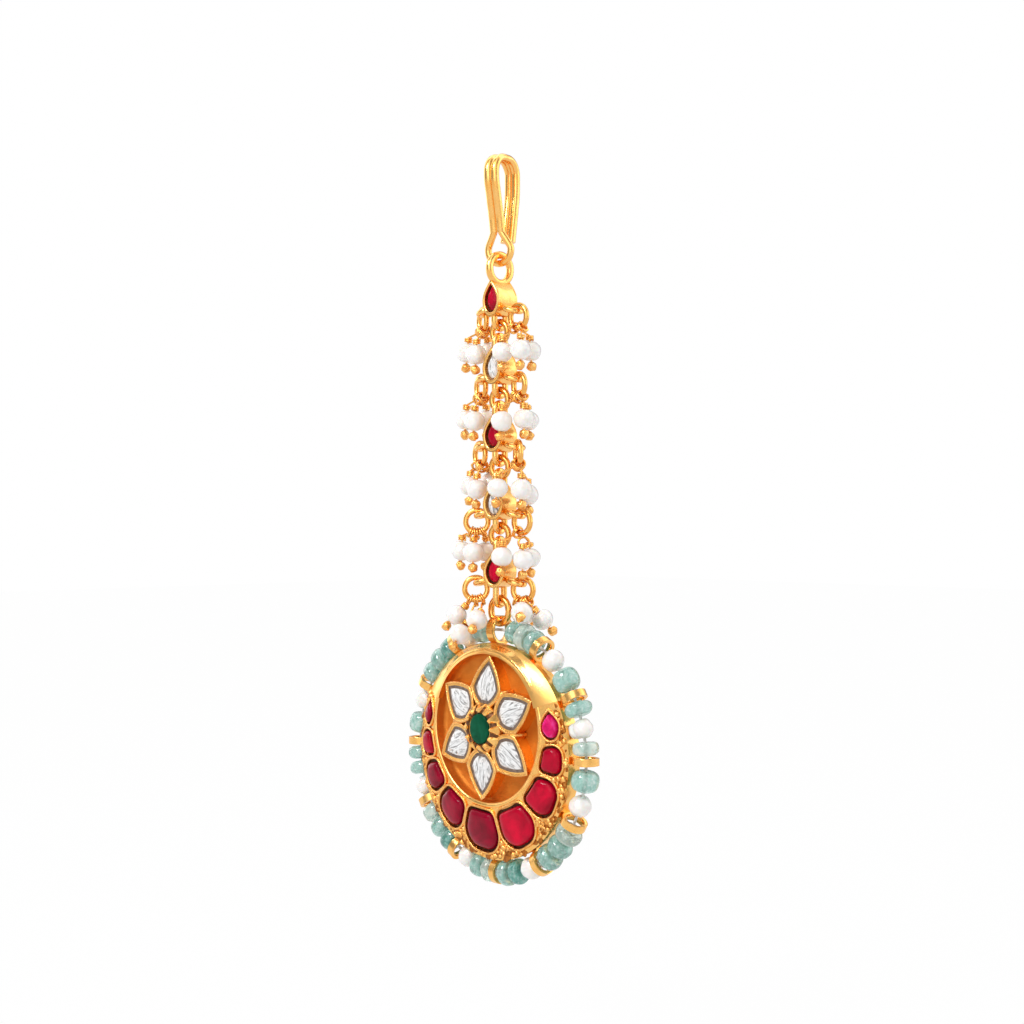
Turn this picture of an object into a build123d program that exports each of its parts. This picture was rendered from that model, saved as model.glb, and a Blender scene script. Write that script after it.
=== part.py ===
"""Maang tikka: a hair hook, five jewelled collets linked as a chain with pearl drops, and a round pendant.

Millimetres. +Z is up, -Y is the front and +X is the wearer's left. The origin is the inside top of the
hook's bend, where the piece hangs. Flat drawings have x to the right, y up and z out towards the front.
"""
import os
from math import asin, cos, degrees, pi, radians, sin

from build123d import *

# ---------------------------------------------------------------- driving dimensions
# hair hook
HOOK_WIRE = (1.28, 1.12)   # width and thickness of each of the two wires
HOOK_SPREAD = 0.56         # half the distance between the two wires
HOOK_ROUTE = [(-0.6, -10.1), (-0.9, -8.2), (-2.2, -2.6), (-2.15, 0.56), (3.3, 0.56), (3.3, -4.6), (2.1, -11.3)]
HOOK_BENDS = [4.0, 5.0, 2.25, 2.25, 10.0]      # the route is the (y, z) of the wires' middle
HOOK_YAW = 14.0
EYE_WIRE = 1.0
EYE_ROUTE = [(0.56, -0.65, -9.4), (0.56, -0.6, -10.0), (1.9, -0.1, -12.2), (1.9, 0.0, -14.5), (0.0, 0.0, -14.5)]
EYE_BENDS = [1.2, 1.2, 1.88]                   # the route is one half of the eye

# collets and chain
COLLET_COUNT = 5
COLLET_Z = -19.53          # middle of the first collet
PITCH = 9.64
COLLET_HALF = 2.6          # half its height
COLLET_RADIUS = 1.7
COLLET_DEPTH = 3.65
COLLET_WALL = 0.45
TIP_WALL = 1.25            # the wall is this much thicker at the point and the foot
POCKET = 1.1
PEAR_BELLY = -0.12         # height of a drop outline's widest place, as a share of its half height
STONE_GAP = 0.1            # round each stone
STONE_LIFT = 0.02          # below each stone
GIRDLE = 0.6               # height of a collet stone's upright part
CROWN = 0.385
CROWN_INSET = 0.27
COLLET_YAW = [0.0, 5.0, 8.0, 12.0, 16.0]
LOOP_WIRE = 0.92
LOOP_RADIUS = 1.08         # to the middle of the wire
LOOP_DROP = 2.1            # how far a bottom loop reaches below its collet
LAST_LOOP_DROP = 2.92
LOOP_RISE = 2.26           # how far a top loop reaches above its collet
LOOP_BEND = 1.07
LOOP_ROOTS = (0.35, 0.6)   # how deep a bottom and a top loop are soldered in
BAIL_WIRE = 1.1
BAIL_RADIUS = 2.0
BAIL_Z = -15.3
LINK_WIRE = 0.88
LINK_OUTER = 3.84
SLACK = 0.08               # play where one wire hangs on another
PENDANT_LINK_WIRE = 0.95
PENDANT_LINK_OUTER = 4.6
PENDANT_SEAT = 0.2         # play below the pendant's flat top loop, for the link's curve

# side rings, jump rings and pearl drops
SIDE_WIRE = 0.8
SIDE_RADIUS = 1.2
SIDE_X = 2.68
SIDE_Z = -1.75             # from the middle of the collet
SIDE_DROOP = 16.0
JUMP_WIRE = 0.8
JUMP_RADIUS = 1.625
PIN_WIRE = 0.4
SHANK_RADIUS = 0.18
BEND_RADIUS = 0.19         # where a pin's arm turns into the pearl
PIN_EYE_RADIUS = 0.8
PIN_SPACING = 0.8
WRAP_RADIUS = 0.52
WRAP_LENGTH = 0.6
WRAP_GAP = 0.05
PEARL = 3.0
PEARL_HOLE = 0.6
PEARL_DROP = 3.2           # from the bottom of the jump ring to the middle of a pearl
BALL = 1.3
BALL_REACH = 2.2           # from the middle of the pearl
PIN_LEAN = [0.1, 0.1, 0.1, 0.1, 1.0]           # share of its arm's lean that a pin keeps through the pearl
# how far round its side ring each jump ring has slid, and its own twist there, degrees, top collet first
JUMP_SLIDE = {"right": [0, -8, -25, 0, 0], "left": [-10, -10, -10, 15, 17]}
JUMP_TWIST = {"right": [0, -12, -14, -12, 0], "left": [-14, -14, -14, 12, 12]}
# the three pearls of each bunch: azimuth in degrees from +X, reach from the jump ring, extra drop
BUNCHES = {
    "right": [
        [(240, 2.3, 0.2), (324, 2.3, 0.0), (88, 2.3, -0.1)],
        [(244, 2.6, 0.3), (350, 1.2, 0.0), (105, 2.5, 0.1)],
        [(240, 3.0, 0.1), (337, 1.3, 0.3), (95, 2.1, 1.0)],
        [(250, 3.15, 0.1), (322, 1.1, 0.5), (108, 2.4, 0.3)],
        [(312, 2.8, -1.75), (44, 2.8, -0.6), (128, 2.3, -1.3)],
    ],
    "left": [
        [(190, 2.85, -0.3), (284, 1.8, 0.2), (108, 1.6, -0.3)],
        [(190, 2.8, -0.2), (284, 1.8, 0.1), (108, 1.6, -0.2)],
        [(182, 2.1, -0.3), (296, 1.4, 0.2), (78, 1.8, -0.8)],
        [(200, 2.5, -0.6), (298, 1.6, -0.4), (86, 1.6, -0.5)],
        [(220, 2.8, -1.0), (320, 3.1, -0.5), (273, 3.2, 1.5)],
    ],
}

# pendant, in its own flat drawing: middle of the disc at 0, 0 and the bead ring in the plane z = 0
DISC_RADIUS = 15.36
NECK_RADIUS = 15.0
NECK_TOP = 0.6
BACK = -1.5
BACK_CHAMFER = 0.5
RIM_BACK = 1.0
RIM_FRONT = 1.5
RING_FRONT = 2.7
RING_RADIUS = 10.96
RING_WIRE = 0.76
RING_OFFSET = 3.37         # how far the inner ring lies above the middle of the disc
DISH_FLOOR = 0.9
ABOVE = 5.0                # any height that clears the front
CELL_OUTER = 14.72
CELL_FLOOR = 0.7
CELL_TWIST = (-10, 10)     # the drops lean towards the top
CELL_WALL = 0.28
RUBY_PROUD = 0.4
RUBY_SOFT = 0.3
CELL_EDGES = [59, 80, 101, 131, 168, 206, 237, 261, 281, 301]   # degrees clockwise from the top
CELL_CORNERS = [None, (0.9, 1.5), (1.2, 2.2), (1.3, 2.8), (1.3, 2.8), (1.3, 2.5), (1.1, 1.9), (0.9, 1.5), None]
DROP_CELL = (1.26, 1.95)   # half width and half height of the first and last cell, drop shaped
DROP_CELL_RADIUS = 13.35
FLOWER_TURN = 4.4
PETALS = 6
PETAL_FRONT = 2.75
PETAL_POCKET = 1.3
PETAL_GIRDLE = 0.7
PETAL_CROWN = 0.5
PETAL_TAPER = 50
SETTING_ROOT = 0.6         # where bezels and collar start, just under the dish's floor
PETAL_TILT = 5.0
PETAL_WALL = 0.45
PETAL_INNER = (0.9, 3.1)
PETAL_SIDE = (2.93, 5.7)    # the widest place; the outline bulges between these points
PETAL_TIP = 10.2
PETAL_BULGES = [(2.215, 4.166), (1.8, 8.17)]
COLLAR_BASE = 3.5
COLLAR_TOP = 2.8
COLLAR_FRONT = 3.9
COLLAR_POCKET = 0.8
CLAWS = 12
CLAW_RADII = (0.5, 0.22)
CLAW_HEIGHT = 1.3
CLAW_FOOT = 0.9            # below the collar's front
CLAW_LEAN = 12
CENTRE_STONE = (2.0, 2.2)
CENTRE_FRONT = 4.1
CENTRE_CHAMFER = 0.25
RIM_LOOPS = 12
RIM_LOOP_OUTER = 1.85
RIM_LOOP_WALL = 0.5
RIM_LOOP_WIDTH = 1.0
RIM_LOOP_RADIUS = 17.15    # to the middle of each loop
LOOP_FOOT = (0.9, 1.2)     # solder under a loop: radial and front-to-back
LOOP_FOOT_SINK = 0.1
TOP_LOOP_OUTER = 2.1
TOP_LOOP_WIDTH = 1.3
TOP_MARGIN = 2.05          # free thread on each side of the top loop, where the link hangs
LOOP_MARGIN = 0.58
THREAD_RADIUS = 17.2
THREAD = 0.4
BEAD_HOLE = 0.7
AQUA_RADIUS = 1.9
AQUA_VARIATION = 0.06
AQUA_ROUND = 0.42          # share of its length
TOP_BEAD_RADIUS = 1.7      # beads next to the link are smaller
TOP_BEAD_ZONE = 12         # degrees to each side of the top
BEAD_PLAY = 0.6           # least free thread between two loops
RIM_STRING = ["AAA", "PA", "APA", "AP", "AAA", "PAA", "AAP", "AAA", "PAA", "AP", "AAA", "PA"]
AQUA_LENGTH = 3.1          # at most
RIM_PEARL_RADIUS = 1.55

# ---------------------------------------------------------------- worked out from them
BOTTOM_COLLET_Z = COLLET_Z - (COLLET_COUNT - 1) * PITCH
LAST_LOOP_Z = BOTTOM_COLLET_Z - COLLET_HALF - LAST_LOOP_DROP
PENDANT_LINK_TOP = LAST_LOOP_Z + LOOP_WIRE + SLACK + PENDANT_LINK_WIRE
PENDANT_LINK_Z = PENDANT_LINK_TOP - PENDANT_LINK_OUTER / 2
PENDANT_LINK_FLOOR = PENDANT_LINK_TOP - PENDANT_LINK_OUTER + PENDANT_LINK_WIRE
PENDANT_Z = PENDANT_LINK_FLOOR + PENDANT_SEAT + RIM_LOOP_WALL - TOP_LOOP_OUTER - RIM_LOOP_RADIUS

FRONT = Plane.XZ.location  # stands a flat drawing up to face the front


def save(name, shape):
    """Write one piece; a list becomes a group of loose solids."""
    if isinstance(shape, (list, tuple)):
        shape = Compound(children=list(shape))
    export_step(shape, f"parts/{name}.step")


def wire_between(start, end, radius):
    """A straight round wire from one point to another."""
    axis = Vector(*end) - Vector(*start)
    return Plane(origin=start, z_dir=axis) * Cylinder(
        radius, axis.length, align=(Align.CENTER, Align.CENTER, Align.MIN))


def on_rim(angle, radius, z=0.0):
    """A place round the pendant, clockwise from the top, with its own y pointing outwards."""
    return Rot(0, 0, -angle) * Pos(0, radius, z)


# ---------------------------------------------------------------- hair hook
def hair_hook():
    """Two wires side by side make the hook; below the front leg they part into the eye."""
    route = FilletPolyline(*[(0, y, z) for y, z in HOOK_ROUTE], radius=HOOK_BENDS)
    wire = Ellipse(HOOK_WIRE[0] / 2, HOOK_WIRE[1] / 2)
    pair = Pos(-HOOK_SPREAD, 0) * wire + Pos(HOOK_SPREAD, 0) * wire
    body = sweep(Plane(origin=route @ 0, x_dir=(1, 0, 0), z_dir=route % 0) * pair, path=route)
    for side in (-1, 1):
        half = FilletPolyline(*[(side * x, y, z) for x, y, z in EYE_ROUTE], radius=EYE_BENDS)
        body = body.fuse(sweep(Plane(origin=half @ 0, z_dir=half % 0) * Circle(EYE_WIRE / 2), path=half))
    return Rot(0, 0, HOOK_YAW) * body


# ---------------------------------------------------------------- collets
def pear(radius, half):
    """A drop outline: round below, with full sides drawn to a point at the top."""
    belly = PEAR_BELLY * half
    rise, fall = half - belly, half + belly
    edges = []
    for side in (-1, 1):
        edges.append(Spline((0, -half), (side * radius * sin(pi / 4), belly - fall * cos(pi / 4)),
                            (side * radius, belly), tangents=[(side, 0), (0, 1)]))
        edges.append(Spline((side * radius, belly), (side * radius * cos(pi / 6), belly + rise / 3),
                            (side * radius / 2, belly + rise * 2 / 3), (0, half),
                            tangents=[(0, 1), (-side * radius, rise * 2 / pi)]))
    return make_face(edges)


def collet_place(index):
    return Pos(0, 0, COLLET_Z - index * PITCH) * Rot(0, 0, COLLET_YAW[index])


def wire_loop(tip, root):
    """A U of round wire in the Y-Z plane, from its root in the collet to its outer tip."""
    turn = tip + (LOOP_WIRE / 2 if tip < root else -LOOP_WIRE / 2)
    route = FilletPolyline((0, -LOOP_RADIUS, root), (0, -LOOP_RADIUS, turn), (0, LOOP_RADIUS, turn),
                           (0, LOOP_RADIUS, root), radius=LOOP_BEND)
    return sweep(Plane(origin=route @ 0, z_dir=route % 0) * Circle(LOOP_WIRE / 2), path=route)


def collet(index):
    """One setting with its loops and side rings, in its own upright frame."""
    body = FRONT * extrude(pear(COLLET_RADIUS, COLLET_HALF), COLLET_DEPTH / 2, both=True)
    drop = LAST_LOOP_DROP if index == COLLET_COUNT - 1 else LOOP_DROP
    extras = [wire_loop(-COLLET_HALF - drop, -COLLET_HALF + LOOP_ROOTS[0])]
    if index == 0:
        extras.append(Pos(0, 0, BAIL_Z - COLLET_Z) * Rot(0, 90, 0) * Torus(BAIL_RADIUS, BAIL_WIRE / 2))
    else:
        extras.append(wire_loop(COLLET_HALF + LOOP_RISE, COLLET_HALF - LOOP_ROOTS[1]))
    for side in (-1, 1):
        droop = Rot(0, side * SIDE_DROOP, 0)
        extras.append(Pos(side * SIDE_X, 0, SIDE_Z) * droop * Torus(SIDE_RADIUS, SIDE_WIRE / 2))
    body = body.fuse(*extras)
    hollow = pear(COLLET_RADIUS - COLLET_WALL, COLLET_HALF - COLLET_WALL * TIP_WALL)
    for side in (-1, 1):
        floor = COLLET_DEPTH / 2 - POCKET
        body -= FRONT * Pos(0, 0, side * floor) * extrude(hollow, side * (POCKET + 1))
    return collet_place(index) * body


def collet_stones(index):
    """The front and the back stone of one collet."""
    width = COLLET_RADIUS - COLLET_WALL - STONE_GAP
    height = COLLET_HALF - (COLLET_WALL + STONE_GAP) * TIP_WALL
    outline, table = pear(width, height), pear(width - CROWN_INSET, height - CROWN_INSET * TIP_WALL)
    stones = []
    for side in (-1, 1):
        floor = COLLET_DEPTH / 2 - POCKET + STONE_LIFT
        crown = loft([Pos(0, 0, GIRDLE) * outline, Pos(0, 0, GIRDLE + CROWN) * table])
        stone = extrude(outline, GIRDLE) + crown
        turn = Rot(0, 0, 0) if side > 0 else Rot(0, 180, 0)
        stones.append(collet_place(index) * FRONT * turn * Pos(0, 0, floor) * stone)
    return stones


# ---------------------------------------------------------------- links
def chain_link(index):
    """The round link below one collet."""
    middle = COLLET_Z - index * PITCH - COLLET_HALF - LOOP_DROP + LOOP_WIRE + SLACK + LINK_WIRE - LINK_OUTER / 2
    yaw = (COLLET_YAW[index] + COLLET_YAW[index + 1]) / 2
    ring = Torus((LINK_OUTER - LINK_WIRE) / 2, LINK_WIRE / 2)
    return Pos(0, 0, middle) * Rot(0, 0, yaw) * Rot(90, 0, 0) * ring


def pendant_link():
    radius = (PENDANT_LINK_OUTER - PENDANT_LINK_WIRE) / 2
    return Pos(0, 0, PENDANT_LINK_Z) * Rot(90, 0, 0) * Torus(radius, PENDANT_LINK_WIRE / 2)


# ---------------------------------------------------------------- pearl drops
def jump_place(index, side):
    """The frame of a jump ring: its middle, with x along the ring's plane, away from the collet."""
    sign = 1 if side == "right" else -1
    slide = JUMP_SLIDE[side][index]
    droop = radians(SIDE_DROOP)
    turn = Rot(0, 0, slide if sign > 0 else 180 + slide)
    contact = Vector(SIDE_RADIUS * cos(radians(slide)) * cos(droop), SIDE_RADIUS * sin(radians(slide)),
                     -SIDE_RADIUS * cos(radians(slide)) * sin(droop))
    x = sign * (SIDE_X + contact.X)
    y = sign * contact.Y
    z = SIDE_Z + contact.Z + SIDE_WIRE / 2 + SLACK - (JUMP_RADIUS - JUMP_WIRE / 2)
    return collet_place(index) * Pos(x, y, z) * turn * Rot(0, 0, JUMP_TWIST[side][index])


def jump_ring(index, side):
    return jump_place(index, side) * Rot(90, 0, 0) * Torus(JUMP_RADIUS, JUMP_WIRE / 2)


def drops(index, side):
    """The three pins and pearls on one jump ring: (pins, pearls)."""
    place = jump_place(index, side)
    bottom = (place * Pos(0, 0, -JUMP_RADIUS)).position
    pins, pearls = [], []
    for slot, (azimuth, reach, extra) in zip(slot_order(place, BUNCHES[side][index]), BUNCHES[side][index]):
        swing = degrees(asin(slot / JUMP_RADIUS))
        eye = place * Rot(0, -swing, 0) * Pos(0, 0, -JUMP_RADIUS + JUMP_WIRE / 2 + SLACK + PIN_WIRE / 2
                                              - PIN_EYE_RADIUS)
        hang = (eye * Pos(0, 0, -PIN_EYE_RADIUS)).position
        angle = radians(azimuth)
        heart = bottom + Vector(reach * cos(angle), reach * sin(angle), -PEARL_DROP - extra)
        lean = heart - hang
        way = Vector(lean.X * PIN_LEAN[index], lean.Y * PIN_LEAN[index], lean.Z).normalized()
        neck = heart - way * (PEARL / 2 + WRAP_GAP + WRAP_LENGTH)
        ball = heart + way * BALL_REACH
        frame = Plane(origin=heart, z_dir=way)
        wrap = frame * Pos(0, 0, -PEARL / 2 - WRAP_GAP - WRAP_LENGTH / 2) * Cylinder(WRAP_RADIUS, WRAP_LENGTH)
        bend = Plane(origin=neck, z_dir=way) * Sphere(BEND_RADIUS)
        arm = wire_between(hang, neck, SHANK_RADIUS).fuse(bend)
        shank = wire_between(neck, ball, SHANK_RADIUS)
        eye_ring = eye * Rot(0, 90, 0) * Torus(PIN_EYE_RADIUS, PIN_WIRE / 2)
        end = Plane(origin=ball, z_dir=way) * Sphere(BALL / 2)
        pins.append(shank.fuse(end).fuse(wrap).fuse(arm).fuse(eye_ring))
        pearls.append(frame * (Sphere(PEARL / 2) - Cylinder(PEARL_HOLE / 2, PEARL)))
    return pins, pearls


def slot_order(place, bunch):
    """Places along the jump ring's bottom, given to the pins in the order in which their pearls lie."""
    along = (place * Pos(1, 0, 0)).position - place.position
    lean = [reach * (cos(radians(a)) * along.X + sin(radians(a)) * along.Y) for a, reach, _ in bunch]
    ranks = sorted(range(len(bunch)), key=lambda pin: lean[pin])
    slots = [0.0] * len(bunch)
    for rank, pin in enumerate(ranks):
        slots[pin] = (rank - 1) * PIN_SPACING
    return slots


# ---------------------------------------------------------------- pendant
PENDANT = Pos(0, 0, PENDANT_Z) * FRONT


def crescent_slope(lift=0.0):
    """The sloping front between the disc's rim and the raised, off-centre inner ring."""
    low = Pos(0, 0, RIM_FRONT + lift) * Circle(DISC_RADIUS)
    high = Pos(0, RING_OFFSET, RING_FRONT + lift) * Circle(RING_RADIUS + RING_WIRE / 2)
    return loft([low, high])


def cell(index, shrink):
    """The outline of one ruby cell, drawn in from its walls; it has rounder corners at the rim."""
    corners = CELL_CORNERS[index]
    if corners is None:
        middle = sum(CELL_EDGES[index:index + 2]) / 2
        turn = 90 if index == 0 else -90
        width, height = (size - shrink for size in DROP_CELL)
        return (on_rim(middle, DROP_CELL_RADIUS) * Rot(0, 0, turn) * Rot(0, 0, CELL_TWIST[index > 0])
                * pear(width, height)).faces()[0]
    start, end = (radians(a) for a in CELL_EDGES[index:index + 2])
    far = 2 * DISC_RADIUS
    wedge = make_face(Polyline((0, 0), (far * sin(start), far * cos(start)), (far * sin(end), far * cos(end)),
                               close=True))
    band = Circle(CELL_OUTER) - Pos(0, RING_OFFSET) * Circle(RING_RADIUS + RING_WIRE / 2)
    outline = offset((band & wedge).faces()[0], -CELL_WALL, kind=Kind.INTERSECTION).faces()[0]
    ranked = outline.vertices().sort_by_distance((0, 0))
    outline = fillet(fillet(ranked[:2], corners[0]).vertices().sort_by_distance((0, 0))[-2:], corners[1])
    return offset(outline.faces()[0], -shrink).faces()[0] if shrink else outline.faces()[0]


def petal_outline(shrink):
    edges = [Line((-PETAL_INNER[0], PETAL_INNER[1]), PETAL_INNER)]
    for side in (-1, 1):
        inner, low, widest, high = ((side * x, y) for x, y in (PETAL_INNER, PETAL_BULGES[0], PETAL_SIDE,
                                                               PETAL_BULGES[1]))
        edges += [ThreePointArc(inner, low, widest), ThreePointArc(widest, high, (0, PETAL_TIP))]
    outline = make_face(edges)
    return offset(outline.faces()[0], -shrink, kind=Kind.INTERSECTION).faces()[0] if shrink else outline


def petal_place(number):
    turn = FLOWER_TURN + number * 360 / PETALS
    return (Pos(0, RING_OFFSET, 0) * Rot(0, 0, -turn) * Pos(0, PETAL_TIP, PETAL_FRONT) * Rot(-PETAL_TILT, 0, 0)
            * Pos(0, -PETAL_TIP, -PETAL_FRONT))


def pendant_frame():
    side = make_face(Polyline(
        (0, BACK), (NECK_RADIUS - BACK_CHAMFER, BACK), (NECK_RADIUS, BACK + BACK_CHAMFER),
        (NECK_RADIUS, NECK_TOP), (DISC_RADIUS, RIM_BACK), (DISC_RADIUS, RIM_FRONT), (0, RIM_FRONT),
        close=True))
    body = revolve(Plane.XZ * side, Axis.Z)
    body = body.fuse(crescent_slope())
    body -= Pos(0, RING_OFFSET, DISH_FLOOR) * extrude(Circle(RING_RADIUS - RING_WIRE / 2), ABOVE)
    for index in range(len(CELL_CORNERS)):
        body -= Pos(0, 0, CELL_FLOOR) * extrude(cell(index, 0), ABOVE)
    joined = [Pos(0, RING_OFFSET, RING_FRONT - RING_WIRE / 3) * Torus(RING_RADIUS, RING_WIRE / 2)]
    upwards = (Align.CENTER, Align.CENTER, Align.MIN)
    for number in range(PETALS):
        height = PETAL_FRONT - SETTING_ROOT
        pocket = extrude(petal_outline(PETAL_WALL), 2 * PETAL_POCKET)
        bezel = extrude(petal_outline(0), height) - Pos(0, 0, height - PETAL_POCKET) * pocket
        joined.append(petal_place(number) * Pos(0, 0, SETTING_ROOT) * bezel)
    collar = Cone(COLLAR_BASE, COLLAR_TOP, COLLAR_FRONT - SETTING_ROOT, align=upwards)
    joined.append(Pos(0, RING_OFFSET, SETTING_ROOT) * collar)
    for number in range(CLAWS):
        claw = Pos(0, COLLAR_TOP, COLLAR_FRONT - CLAW_FOOT) * Rot(CLAW_LEAN, 0, 0) * Cone(
            *CLAW_RADII, CLAW_HEIGHT, align=upwards)
        joined.append(Pos(0, RING_OFFSET, 0) * Rot(0, 0, -number * 360 / CLAWS) * claw)
    for number in range(RIM_LOOPS):
        width = TOP_LOOP_WIDTH if number == 0 else RIM_LOOP_WIDTH
        outer = TOP_LOOP_OUTER if number == 0 else RIM_LOOP_OUTER
        loop = Rot(0, 90, 0) * (Cylinder(outer, width) - Cylinder(outer - RIM_LOOP_WALL, 2 * width))
        foot = Pos(0, -RIM_LOOP_OUTER - LOOP_FOOT_SINK, 0) * Box(width, *LOOP_FOOT)
        joined.append(on_rim(number * 360 / RIM_LOOPS, RIM_LOOP_RADIUS) * loop)
        joined.append(on_rim(number * 360 / RIM_LOOPS, RIM_LOOP_RADIUS) * foot)
    body = body.fuse(*joined)
    body -= Pos(0, RING_OFFSET, COLLAR_FRONT - COLLAR_POCKET) * extrude(
        Ellipse(CENTRE_STONE[0] + STONE_GAP, CENTRE_STONE[1] + STONE_GAP), 3 * COLLAR_POCKET)
    return PENDANT * body


def ruby(index):
    """A red stone that stands a little above its cell and follows the slope."""
    prism = Pos(0, 0, CELL_FLOOR + STONE_LIFT) * extrude(cell(index, STONE_GAP), ABOVE)
    stone = (prism & crescent_slope(RUBY_PROUD)).solids()[0]
    rim = stone.faces().sort_by(Axis.Z)[-1].edges()
    return PENDANT * fillet(rim, RUBY_SOFT)


def petal_stone(number):
    outline = petal_outline(PETAL_WALL + STONE_GAP)
    floor = PETAL_FRONT - PETAL_POCKET + STONE_LIFT
    crown = extrude(outline, PETAL_CROWN, taper=PETAL_TAPER)
    stone = extrude(outline, PETAL_GIRDLE) + Pos(0, 0, PETAL_GIRDLE) * crown
    return PENDANT * petal_place(number) * Pos(0, 0, floor) * stone


def centre_stone():
    floor = COLLAR_FRONT - COLLAR_POCKET + STONE_LIFT
    stone = Pos(0, RING_OFFSET, floor) * extrude(Ellipse(*CENTRE_STONE), CENTRE_FRONT - floor)
    return PENDANT * chamfer(stone.faces().sort_by(Axis.Z)[-1].edges(), CENTRE_CHAMFER)


def rim_thread():
    return PENDANT * Torus(THREAD_RADIUS, THREAD / 2)


def rim_beads(segment):
    """The beads between two rim loops: (aqua rondelles, pearls)."""
    string = RIM_STRING[segment]
    start = TOP_MARGIN if segment == 0 else LOOP_MARGIN
    end = TOP_MARGIN if segment == RIM_LOOPS - 1 else LOOP_MARGIN
    room = radians(360 / RIM_LOOPS) * THREAD_RADIUS - start - end
    pearl_length = 2 * RIM_PEARL_RADIUS
    pearl_count = string.count("P")
    aqua_room = room - pearl_count * pearl_length - BEAD_PLAY
    aqua_length = min(AQUA_LENGTH, aqua_room / (len(string) - pearl_count))
    lengths = [pearl_length if kind == "P" else aqua_length for kind in string]
    spare = (room - sum(lengths)) / (len(string) + 1)
    aqua, pearls = [], []
    at = start
    for number, (kind, length) in enumerate(zip(string, lengths)):
        at += spare
        angle = segment * 360 / RIM_LOOPS + degrees((at + length / 2) / THREAD_RADIUS)
        at += length
        along = on_rim(angle, THREAD_RADIUS) * Rot(0, 90, 0)
        hole = Cylinder(BEAD_HOLE / 2, 2 * length)
        if kind == "P":
            pearls.append(PENDANT * along * (Sphere(length / 2) - hole))
        else:
            wide = AQUA_RADIUS + AQUA_VARIATION * sin(2.3 * (3 * segment + number))
            if min(angle, 360 - angle) < TOP_BEAD_ZONE:
                wide = TOP_BEAD_RADIUS
            rondelle = Cylinder(wide, length)
            rondelle = fillet(rondelle.edges().filter_by(GeomType.CIRCLE), AQUA_ROUND * length)
            aqua.append(PENDANT * along * (rondelle - hole))
    return aqua, pearls


# ---------------------------------------------------------------- write the pieces
os.makedirs("parts", exist_ok=True)
save("hair_hook", hair_hook())
jumps = {"left": [], "right": []}
for level in range(COLLET_COUNT):
    save(f"collet_{level + 1}", collet(level))
    save(f"collet_stones_{level + 1}", collet_stones(level))
    if level < COLLET_COUNT - 1:
        save(f"chain_link_{level + 1}", chain_link(level))
    pins, pearls = [], []
    for side in ("left", "right"):
        jumps[side].append(jump_ring(level, side))
        side_pins, side_pearls = drops(level, side)
        pins += side_pins
        pearls += side_pearls
    save(f"drop_pins_{level + 1}", pins)
    save(f"drop_pearls_{level + 1}", pearls)
for side, rings in jumps.items():
    save(f"drop_rings_{side}", rings)
save("pendant_link", pendant_link())
save("pendant_frame", pendant_frame())
for index in range(len(CELL_CORNERS)):
    save(f"ruby_{index + 1}", ruby(index))
for number in range(PETALS):
    save(f"petal_stone_{number + 1}", petal_stone(number))
save("centre_stone", centre_stone())
save("rim_thread", rim_thread())
rim_pearls = []
for segment in range(RIM_LOOPS):
    aqua, pearls = rim_beads(segment)
    save(f"aqua_beads_{segment + 1:02d}", aqua)
    rim_pearls += pearls
save("rim_pearls", rim_pearls)
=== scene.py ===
"""Looks for the maang tikka: camera, light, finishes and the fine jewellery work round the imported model.

Metres, +Z up, -Y the front. Lengths are written in millimetres and turned into metres by MM.
"""

import math
import random

import bmesh
import bpy
from mathutils import Matrix, Vector, noise


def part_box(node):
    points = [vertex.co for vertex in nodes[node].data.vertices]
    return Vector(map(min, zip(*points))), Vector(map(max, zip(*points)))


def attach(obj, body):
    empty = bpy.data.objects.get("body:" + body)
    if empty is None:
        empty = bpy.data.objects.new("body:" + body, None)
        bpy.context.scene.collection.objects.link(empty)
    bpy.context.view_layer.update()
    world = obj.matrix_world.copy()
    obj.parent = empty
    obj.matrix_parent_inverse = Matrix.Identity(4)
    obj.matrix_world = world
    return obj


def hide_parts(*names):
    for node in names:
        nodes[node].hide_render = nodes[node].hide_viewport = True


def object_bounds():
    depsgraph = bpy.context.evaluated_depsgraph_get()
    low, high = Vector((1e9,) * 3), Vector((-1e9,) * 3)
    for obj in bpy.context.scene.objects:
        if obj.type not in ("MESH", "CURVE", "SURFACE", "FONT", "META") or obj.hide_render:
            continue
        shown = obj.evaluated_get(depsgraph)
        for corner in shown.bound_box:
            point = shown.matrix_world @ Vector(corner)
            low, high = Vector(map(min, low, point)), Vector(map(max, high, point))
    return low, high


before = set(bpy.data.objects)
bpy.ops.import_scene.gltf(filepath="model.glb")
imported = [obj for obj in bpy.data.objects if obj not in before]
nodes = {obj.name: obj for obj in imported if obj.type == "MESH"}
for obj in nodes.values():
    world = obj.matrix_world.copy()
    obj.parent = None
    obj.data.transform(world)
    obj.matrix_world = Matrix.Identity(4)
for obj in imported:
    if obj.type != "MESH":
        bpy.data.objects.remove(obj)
cad_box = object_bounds()
scene = bpy.context.scene

MM = 0.001
FINE = 1.0 / MM            # turns object coordinates into millimetres in the materials
FULL_TURN = 2 * math.pi
FORWARD = Vector((0, -1, 0))
ACROSS = Vector((0, 1, 0))                    # through the pendant, from its front to its back
CHAIN, PENDANT = "chain", "pendant"
LEVELS = range(1, 6)
CHAIN_LINKS = range(1, 5)
RUBIES = range(1, 10)
SMALL_CELLS = (1, 2, 8, 9)
PETALS = range(1, 7)
BEAD_RUNS = range(1, 13)
TINTS = (0, 0, 1, 0, 2, 0, 0, 1, 0, 0, 2)     # which bead material comes next on the string

# ---------------------------------------------------------------- camera
HEADING = math.radians(46.6)         # how far round from the front the camera stands
VIEW_DISTANCE = 270.75 * MM
LENS = 66.8
SENSOR = 36.0
NEAREST = 10 * MM                    # nothing nearer than this is drawn

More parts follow.
